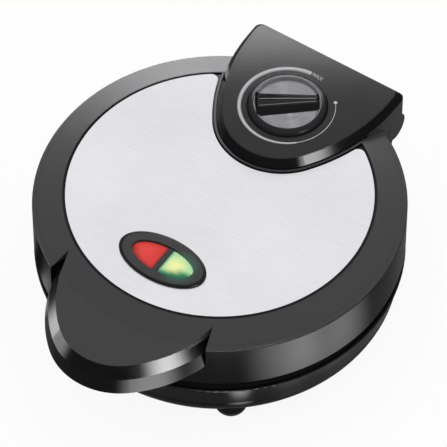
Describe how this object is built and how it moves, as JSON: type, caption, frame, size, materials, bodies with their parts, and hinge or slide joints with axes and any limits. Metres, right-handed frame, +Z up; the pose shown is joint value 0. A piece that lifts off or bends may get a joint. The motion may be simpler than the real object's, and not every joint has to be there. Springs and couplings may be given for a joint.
{
  "type": "waffle maker",
  "caption": "Round countertop waffle maker: hinged lid with a front lift handle, brushed top panel, lamp window and a turning temperature dial over studded plates.",
  "frame": {"origin": "centre of the bounding box in plan, on the plane the feet stand on", "axes": "+Y from the handle at the front to the hinge at the back, +Z up, +X to the right seen from the front"},
  "size_m": [0.2102, 0.2546, 0.0938],
  "materials": {
    "base_plastic": "black moulded, satin gloss",
    "lid_plastic": "charcoal moulded, satin top and glossy sides",
    "console_plastic": "charcoal moulded, satin top and glossy bevel",
    "frame_plastic": "black heat-resistant moulding",
    "coated_plate": "cast, dark non-stick coat",
    "element_tube": "oxidised sheath",
    "shield_steel": "galvanised sheet",
    "screw_steel": "zinc plated",
    "pin_steel": "ground",
    "foot_rubber": "matt",
    "gland_rubber": "matt",
    "pale_insulator": "moulded",
    "fuse_case": "plain",
    "panel_steel": "fine brushed",
    "bezel_plastic": "dark grey moulded",
    "red_lens": "clear tinted",
    "green_lens": "clear tinted",
    "lamp_glass": "clear",
    "thermostat_case": "plain",
    "dial_plastic": "grey moulded with a black grip"
  },
  "bodies": {
    "base": {"base_shell": "base_plastic", "hinge_bracket": "base_plastic", "bracket_screws": "screw_steel", "base_plate_frame": "frame_plastic", "front_left_foot": "foot_rubber", "front_right_foot": "foot_rubber", "rear_left_foot": "foot_rubber", "rear_right_foot": "foot_rubber", "lower_waffle_plate": "coated_plate", "lower_plate_rim": "coated_plate", "lower_heating_element": "element_tube", "lower_heat_shield": "shield_steel", "lower_shield_screw": "screw_steel", "lower_plate_screws": "screw_steel", "left_hinge_pin": "pin_steel", "right_hinge_pin": "pin_steel", "cord_gland": "gland_rubber", "terminal_block": "pale_insulator"},
    "lid": {"lid_shell": "lid_plastic", "lid_plate_frame": "frame_plastic", "upper_waffle_plate": "coated_plate", "upper_plate_rim": "coated_plate", "upper_heating_element": "element_tube", "upper_heat_shield": "shield_steel", "upper_shield_screw": "screw_steel", "upper_plate_screws": "screw_steel", "thermal_fuse": "fuse_case", "handle_lower_cover": "lid_plastic", "handle_screws": "screw_steel", "lid_panel": "panel_steel", "console_cover": "console_plastic", "console_screws": "screw_steel", "indicator_bezel": "bezel_plastic", "red_lens": "red_lens", "green_lens": "green_lens", "red_lamp": "lamp_glass", "green_lamp": "lamp_glass", "lamp_holder": "pale_insulator", "thermostat_body": "thermostat_case"},
    "dial": {"temperature_dial": "dial_plastic", "thermostat_shaft": "pin_steel"}
  },
  "joints": [
    {"name": "lid_hinge", "type": "hinge", "parent": "base", "child": "lid", "pos_m": [0, 0.1188, 0.0655], "axis": [-1, 0, 0], "range_deg": [0, 100]},
    {"name": "dial_turn", "type": "hinge", "parent": "lid", "child": "dial", "pos_m": [0, 0.0807, 0.0871], "axis": [0, 0, -1], "range_deg": [0, 300]}
  ]
}
